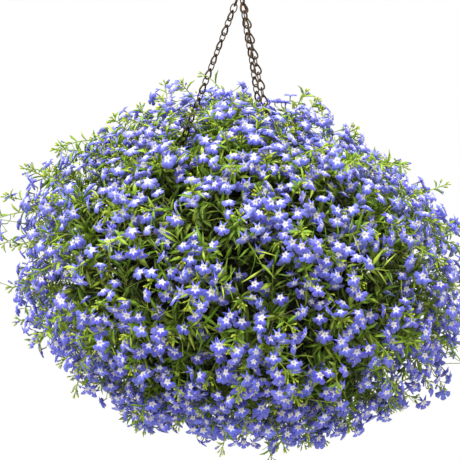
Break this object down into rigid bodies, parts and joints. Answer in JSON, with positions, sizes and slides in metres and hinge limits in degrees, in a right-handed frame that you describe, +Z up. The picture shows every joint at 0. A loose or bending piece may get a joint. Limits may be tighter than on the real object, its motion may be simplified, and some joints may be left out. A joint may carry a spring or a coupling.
{
  "type": "trailing lobelia in a hanging pot",
  "caption": "Dense ball of blue-flowered trailing lobelia growing over a round hanging pot, on chains that meet at a plain ring.",
  "frame": {"origin": "inside top of the hanging ring, where a bracket's hook carries it", "axes": "+Z up, -Y towards the picture's viewer, +X to the picture's right"},
  "size_m": [0.5582, 0.5282, 0.5442],
  "materials": {
    "chain_steel": "satin",
    "pot_plastic": "matte",
    "potting_soil": "matte",
    "lobelia": "matte"
  },
  "bodies": {
    "root": {"hanging_ring": "chain_steel", "pot": "pot_plastic", "soil": "potting_soil", "chain_1": "chain_steel", "rim_ring_1": "chain_steel", "chain_2": "chain_steel", "rim_ring_2": "chain_steel", "chain_3": "chain_steel", "rim_ring_3": "chain_steel", "spray_crown_1": "lobelia", "spray_crown_2": "lobelia", "spray_crown_3": "lobelia", "spray_shoulder_1": "lobelia", "spray_shoulder_2": "lobelia", "spray_shoulder_3": "lobelia", "spray_shoulder_4": "lobelia", "spray_shoulder_5": "lobelia", "spray_shoulder_6": "lobelia", "spray_side_1": "lobelia", "spray_side_2": "lobelia", "spray_side_3": "lobelia", "spray_side_4": "lobelia", "spray_side_5": "lobelia", "spray_side_6": "lobelia", "spray_side_7": "lobelia", "spray_side_8": "lobelia", "spray_side_9": "lobelia", "spray_side_10": "lobelia", "spray_side_11": "lobelia", "spray_side_12": "lobelia", "spray_lower_1": "lobelia", "spray_lower_2": "lobelia", "spray_lower_3": "lobelia", "spray_lower_4": "lobelia", "spray_lower_5": "lobelia", "spray_lower_6": "lobelia", "spray_lower_7": "lobelia", "spray_lower_8": "lobelia", "spray_lower_9": "lobelia", "spray_lower_10": "lobelia", "spray_lower_11": "lobelia", "spray_lower_12": "lobelia", "spray_hanging_1": "lobelia", "spray_hanging_2": "lobelia", "spray_hanging_3": "lobelia", "spray_hanging_4": "lobelia", "spray_hanging_5": "lobelia", "spray_hanging_6": "lobelia"}
  },
  "joints": []
}
